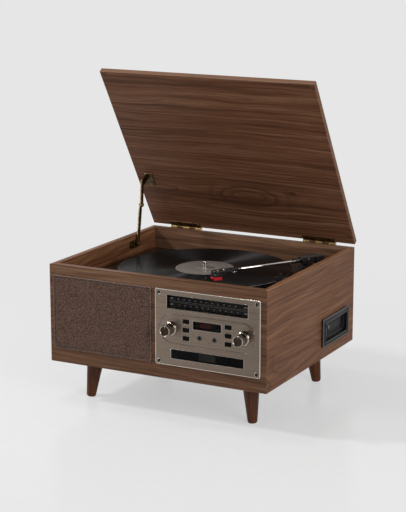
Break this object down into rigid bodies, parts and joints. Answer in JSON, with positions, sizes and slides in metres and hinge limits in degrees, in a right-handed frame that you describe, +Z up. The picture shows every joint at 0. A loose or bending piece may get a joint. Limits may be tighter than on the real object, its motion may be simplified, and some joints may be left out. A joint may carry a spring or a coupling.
{
  "type": "stereo music centre",
  "caption": "Walnut music centre on splayed legs: record deck under a hinged lid with a folding stay, radio and disc panel, cloth grille, cassette slot in the side.",
  "frame": {"origin": "bottom centre of the bounding box, on the floor between the legs, with the lid open and all else at rest", "axes": "+Z up along the spindle, -Y towards the front with the grille and control panel, +X towards the side with the cassette slot"},
  "size_m": [0.404, 0.3866, 0.5433],
  "materials": {
    "walnut": "oiled walnut veneer, satin",
    "walnut_back": "dark stained board, satin",
    "leg_wood": "reddish-brown lacquered wood, satin",
    "antique_brass": "aged brass, satin",
    "brass": "turned brass",
    "grille_cloth": "brown-grey woven speaker cloth",
    "frame_black": "black moulded plastic, matt",
    "driver": "black steel basket, magnet and pulp cone",
    "champagne_metal": "champagne anodised aluminium, brushed along its length",
    "screw_dark": "dark plated steel",
    "window": "smoked clear acrylic, gloss",
    "gloss_black": "gloss black plastic",
    "platter_black": "black lacquered aluminium with fine ribs, gloss",
    "pad_grey": "grey rubber pad, matt",
    "chrome": "chrome",
    "knob_metal": "turned aluminium, satin",
    "pointer_red": "red",
    "deck_black": "black painted steel, satin",
    "arm_black": "black paint, satin",
    "head_black": "black plastic, satin",
    "stylus_red": "translucent red plastic",
    "circuit_green": "green circuit board with parts",
    "zinc": "zinc plated steel",
    "belt_rubber": "black rubber",
    "bumper_rubber": "dark rubber"
  },
  "bodies": {
    "cabinet": {"left_side_panel": "walnut", "right_side_panel": "walnut", "front_board": "walnut", "back_panel": "walnut", "bottom_panel": "walnut_back", "deck_cleats": "walnut_back", "legs": "leg_wood", "leg_plates": "screw_dark", "grille_frame": "frame_black", "grille_cloth": "grille_cloth", "speaker_drivers": "driver", "control_faceplate": "champagne_metal", "faceplate_screws": "screw_dark", "fascia_windows": "window", "dial_scale": "frame_black", "jack_sockets": "gloss_black", "control_board": "circuit_green", "cd_mechanism": "zinc", "deck_plate": "deck_black", "bearing_bush": "brass", "motor": "zinc", "drive_belt": "belt_rubber", "tonearm_base": "frame_black", "arm_rest": "frame_black", "hinge_fixed_leaves": "antique_brass", "stay_wall_bracket": "antique_brass", "cassette_frame": "frame_black", "cassette_mechanism": "zinc", "main_board": "circuit_green", "power_supply": "zinc", "rear_terminal_plate": "frame_black"},
    "lid": {"lid_panel": "walnut", "hinge_lid_leaves": "antique_brass", "lid_bumpers": "bumper_rubber", "stay_lid_bracket": "antique_brass"},
    "stay_upper": {"stay_upper_arm": "antique_brass"},
    "stay_lower": {"stay_lower_arm": "antique_brass"},
    "turntable": {"platter": "platter_black", "centre_pad": "pad_grey", "spindle": "chrome"},
    "motor_rotor": {"motor_pulley": "brass"},
    "arm_yoke": {"tonearm_yoke": "arm_black"},
    "arm": {"tonearm_tube": "chrome", "tonearm_counterweight": "arm_black", "headshell": "head_black", "stylus": "stylus_red"},
    "cue": {"cue_lever": "frame_black"},
    "speed": {"speed_selector": "frame_black"},
    "volume": {"volume_knob": "knob_metal"},
    "tuning": {"tuning_knob": "knob_metal"},
    "pointer": {"dial_pointer": "pointer_red"},
    "tray": {"cd_tray": "gloss_black"},
    "flap": {"cassette_flap": "gloss_black"},
    "eject": {"cassette_button": "frame_black"},
    "button_1": {"function_button_1": "gloss_black"},
    "button_2": {"function_button_2": "gloss_black"},
    "button_3": {"function_button_3": "gloss_black"},
    "button_4": {"function_button_4": "gloss_black"},
    "button_5": {"function_button_5": "gloss_black"},
    "button_6": {"function_button_6": "gloss_black"}
  },
  "joints": [
    {"name": "lid_hinge", "type": "hinge", "parent": "cabinet", "child": "lid", "pos_m": [-0.002, 0.18692, 0.237], "axis": [1, 0, 0], "range_deg": [0, 58]},
    {"name": "stay_upper_pivot", "type": "hinge", "parent": "lid", "child": "stay_upper", "pos_m": [-0.186, 0.11379, 0.3295], "axis": [1, 0, 0], "range_deg": [-116.74, 0]},
    {"name": "stay_lower_pivot", "type": "hinge", "parent": "cabinet", "child": "stay_lower", "pos_m": [-0.188, 0.10152, 0.219], "axis": [1, 0, 0], "range_deg": [0, 110.2]},
    {"name": "platter_spin", "type": "hinge", "parent": "cabinet", "child": "turntable", "pos_m": [-0.0084, 0.01782, 0.211], "axis": [0, 0, -1], "continuous": true},
    {"name": "motor_spin", "type": "hinge", "parent": "cabinet", "child": "motor_rotor", "pos_m": [-0.09679, 0.10621, 0.2005], "axis": [0, 0, -1], "continuous": true},
    {"name": "arm_swing", "type": "hinge", "parent": "cabinet", "child": "arm_yoke", "pos_m": [0.148, 0.09372, 0.215], "axis": [0, 0, -1], "range_deg": [-33, 13]},
    {"name": "arm_lift", "type": "hinge", "parent": "arm_yoke", "child": "arm", "pos_m": [0.148, 0.09372, 0.227], "axis": [-0.848, 0.5299, 0], "range_deg": [0, 2.4]},
    {"name": "cue_lift", "type": "hinge", "parent": "cabinet", "child": "cue", "pos_m": [0.176, 0.09972, 0.207], "axis": [-1, 0, 0], "range_deg": [0, 60]},
    {"name": "speed_slide", "type": "slide", "parent": "cabinet", "child": "speed", "axis": [0, 1, 0], "range_m": [0, 0.012]},
    {"name": "volume_turn", "type": "hinge", "parent": "cabinet", "child": "volume", "pos_m": [0.029, -0.17128, 0.1555], "axis": [0, 1, 0], "range_deg": [0, 300]},
    {"name": "tuning_turn", "type": "hinge", "parent": "cabinet", "child": "tuning", "pos_m": [0.159, -0.17128, 0.1555], "axis": [0, 1, 0], "range_deg": [-354.19, 729.22]},
    {"name": "pointer_slide", "type": "slide", "parent": "cabinet", "child": "pointer", "axis": [1, 0, 0], "range_m": [-0.03401, 0.07001]},
    {"name": "tray_slide", "type": "slide", "parent": "cabinet", "child": "tray", "axis": [0, -1, 0], "range_m": [0, 0.13]},
    {"name": "flap_hinge", "type": "hinge", "parent": "cabinet", "child": "flap", "pos_m": [0.194, 0.11222, 0.1228], "axis": [0, 1, 0], "range_deg": [0, 75], "stiffness_Nm_per_rad": 0.001, "springref_deg": -28.65},
    {"name": "eject_press", "type": "slide", "parent": "cabinet", "child": "eject", "axis": [-1, 0, 0], "range_m": [0, 0.003], "stiffness_N_per_m": 250, "springref_m": -0.003},
    {"name": "button_1_press", "type": "slide", "parent": "cabinet", "child": "button_1", "axis": [0, 1, 0], "range_m": [0, 0.001], "stiffness_N_per_m": 500, "springref_m": -0.002},
    {"name": "button_2_press", "type": "slide", "parent": "cabinet", "child": "button_2", "axis": [0, 1, 0], "range_m": [0, 0.001], "stiffness_N_per_m": 500, "springref_m": -0.002},
    {"name": "button_3_press", "type": "slide", "parent": "cabinet", "child": "button_3", "axis": [0, 1, 0], "range_m": [0, 0.001], "stiffness_N_per_m": 500, "springref_m": -0.002},
    {"name": "button_4_press", "type": "slide", "parent": "cabinet", "child": "button_4", "axis": [0, 1, 0], "range_m": [0, 0.001], "stiffness_N_per_m": 500, "springref_m": -0.002},
    {"name": "button_5_press", "type": "slide", "parent": "cabinet", "child": "button_5", "axis": [0, 1, 0], "range_m": [0, 0.001], "stiffness_N_per_m": 500, "springref_m": -0.002},
    {"name": "button_6_press", "type": "slide", "parent": "cabinet", "child": "button_6", "axis": [0, 1, 0], "range_m": [0, 0.001], "stiffness_N_per_m": 500, "springref_m": -0.002}
  ],
  "couplings": [
    {"joint": "stay_upper_pivot", "follows": "lid_hinge", "ratio": -2.0126},
    {"joint": "stay_lower_pivot", "follows": "lid_hinge", "ratio": 1.8997},
    {"joint": "motor_spin", "follows": "platter_spin", "ratio": 15.688},
    {"joint": "arm_lift", "follows": "cue_lift", "ratio": 0.04},
    {"joint": "pointer_slide", "follows": "tuning_turn", "m_per_rad": 0.0055}
  ]
}
